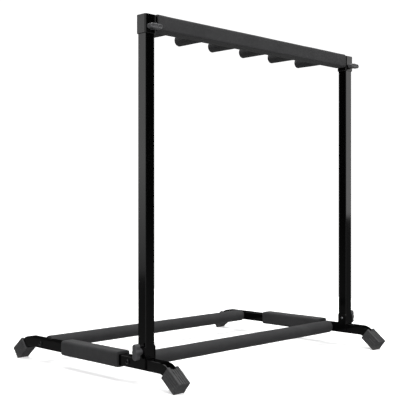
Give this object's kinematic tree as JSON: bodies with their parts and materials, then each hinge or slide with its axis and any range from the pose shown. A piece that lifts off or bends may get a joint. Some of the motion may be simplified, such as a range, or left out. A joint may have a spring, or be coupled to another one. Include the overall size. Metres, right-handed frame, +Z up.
{
  "type": "folding guitar rack",
  "caption": "Folding floor rack that holds guitars in a row: side rails on angled rubber feet, foam-covered cross bars and a lift-off top rail with padded neck fingers.",
  "frame": {"origin": "on the floor, under the middle of the rack", "axes": "+Z up, -Y towards the front, where the guitars are put in, +X along the rack to the right of somebody in front of it"},
  "size_m": [0.6692, 0.5164, 0.6689],
  "materials": {
    "black_steel": "gloss black powder coat",
    "black_foam": "matt closed-cell foam sleeve",
    "black_rubber": "matt ribbed rubber",
    "grey_plastic": "moulded dark grey plastic",
    "black_plastic": "moulded black plastic",
    "zinc": "zinc-plated screw thread"
  },
  "bodies": {
    "base": {"cross_foam_front": "black_foam", "cross_foam_rear": "black_foam", "cross_screw_front_left": "black_steel", "cross_screw_front_right": "black_steel", "cross_screw_rear_left": "black_steel", "cross_screw_rear_right": "black_steel", "cross_tube_front": "black_steel", "cross_tube_rear": "black_steel", "foot_boot_front_left": "black_rubber", "foot_boot_front_right": "black_rubber", "foot_boot_rear_left": "black_rubber", "foot_boot_rear_right": "black_rubber", "hinge_plate_inner_left": "black_steel", "hinge_plate_inner_right": "black_steel", "hinge_plate_outer_left": "black_steel", "hinge_plate_outer_right": "black_steel", "side_pad_left": "black_foam", "side_pad_right": "black_foam", "side_rail_left": "black_steel", "side_rail_right": "black_steel", "tube_insert_front_left": "zinc", "tube_insert_front_right": "zinc", "tube_insert_rear_left": "zinc", "tube_insert_rear_right": "zinc"},
    "uprights": {"upright_left": "black_steel", "upright_plug_left": "black_plastic", "upright_plug_right": "black_plastic", "upright_right": "black_steel"},
    "top_rail": {"finger_foam_1": "black_foam", "finger_foam_2": "black_foam", "finger_foam_3": "black_foam", "finger_foam_4": "black_foam", "finger_foam_5": "black_foam", "finger_foam_6": "black_foam", "finger_peg_1": "black_steel", "finger_peg_2": "black_steel", "finger_peg_3": "black_steel", "finger_peg_4": "black_steel", "finger_peg_5": "black_steel", "finger_peg_6": "black_steel", "top_bar": "black_steel", "top_foam": "black_foam", "top_socket_left": "black_steel", "top_socket_right": "black_steel"},
    "wing_screw_left": {"wing_knob_left": "grey_plastic", "wing_stud_left": "zinc"},
    "clamp_left": {"clamp_knob_left": "grey_plastic", "clamp_stud_left": "zinc"},
    "wing_screw_right": {"wing_knob_right": "grey_plastic", "wing_stud_right": "zinc"},
    "clamp_right": {"clamp_knob_right": "grey_plastic", "clamp_stud_right": "zinc"}
  },
  "joints": [
    {"name": "frame_fold", "type": "hinge", "parent": "base", "child": "uprights", "pos_m": [0, 0.157, 0.064], "axis": [1, 0, 0], "range_deg": [0, 87]},
    {"name": "top_rail_lift", "type": "slide", "parent": "uprights", "child": "top_rail", "axis": [0, 0, 1], "range_m": [0, 0.032]},
    {"name": "wing_screw_turn_left", "type": "hinge", "parent": "top_rail", "child": "wing_screw_left", "pos_m": [-0.3055, 0.1701, 0.643], "axis": [0, 1, 0], "range_deg": [0, 720]},
    {"name": "clamp_turn_left", "type": "hinge", "parent": "base", "child": "clamp_left", "pos_m": [-0.3186, 0.157, 0.064], "axis": [-1, 0, 0], "range_deg": [0, 720]},
    {"name": "wing_screw_turn_right", "type": "hinge", "parent": "top_rail", "child": "wing_screw_right", "pos_m": [0.3055, 0.1701, 0.643], "axis": [0, 1, 0], "range_deg": [0, 720]},
    {"name": "clamp_turn_right", "type": "hinge", "parent": "base", "child": "clamp_right", "pos_m": [0.3186, 0.157, 0.064], "axis": [1, 0, 0], "range_deg": [0, 720]}
  ]
}
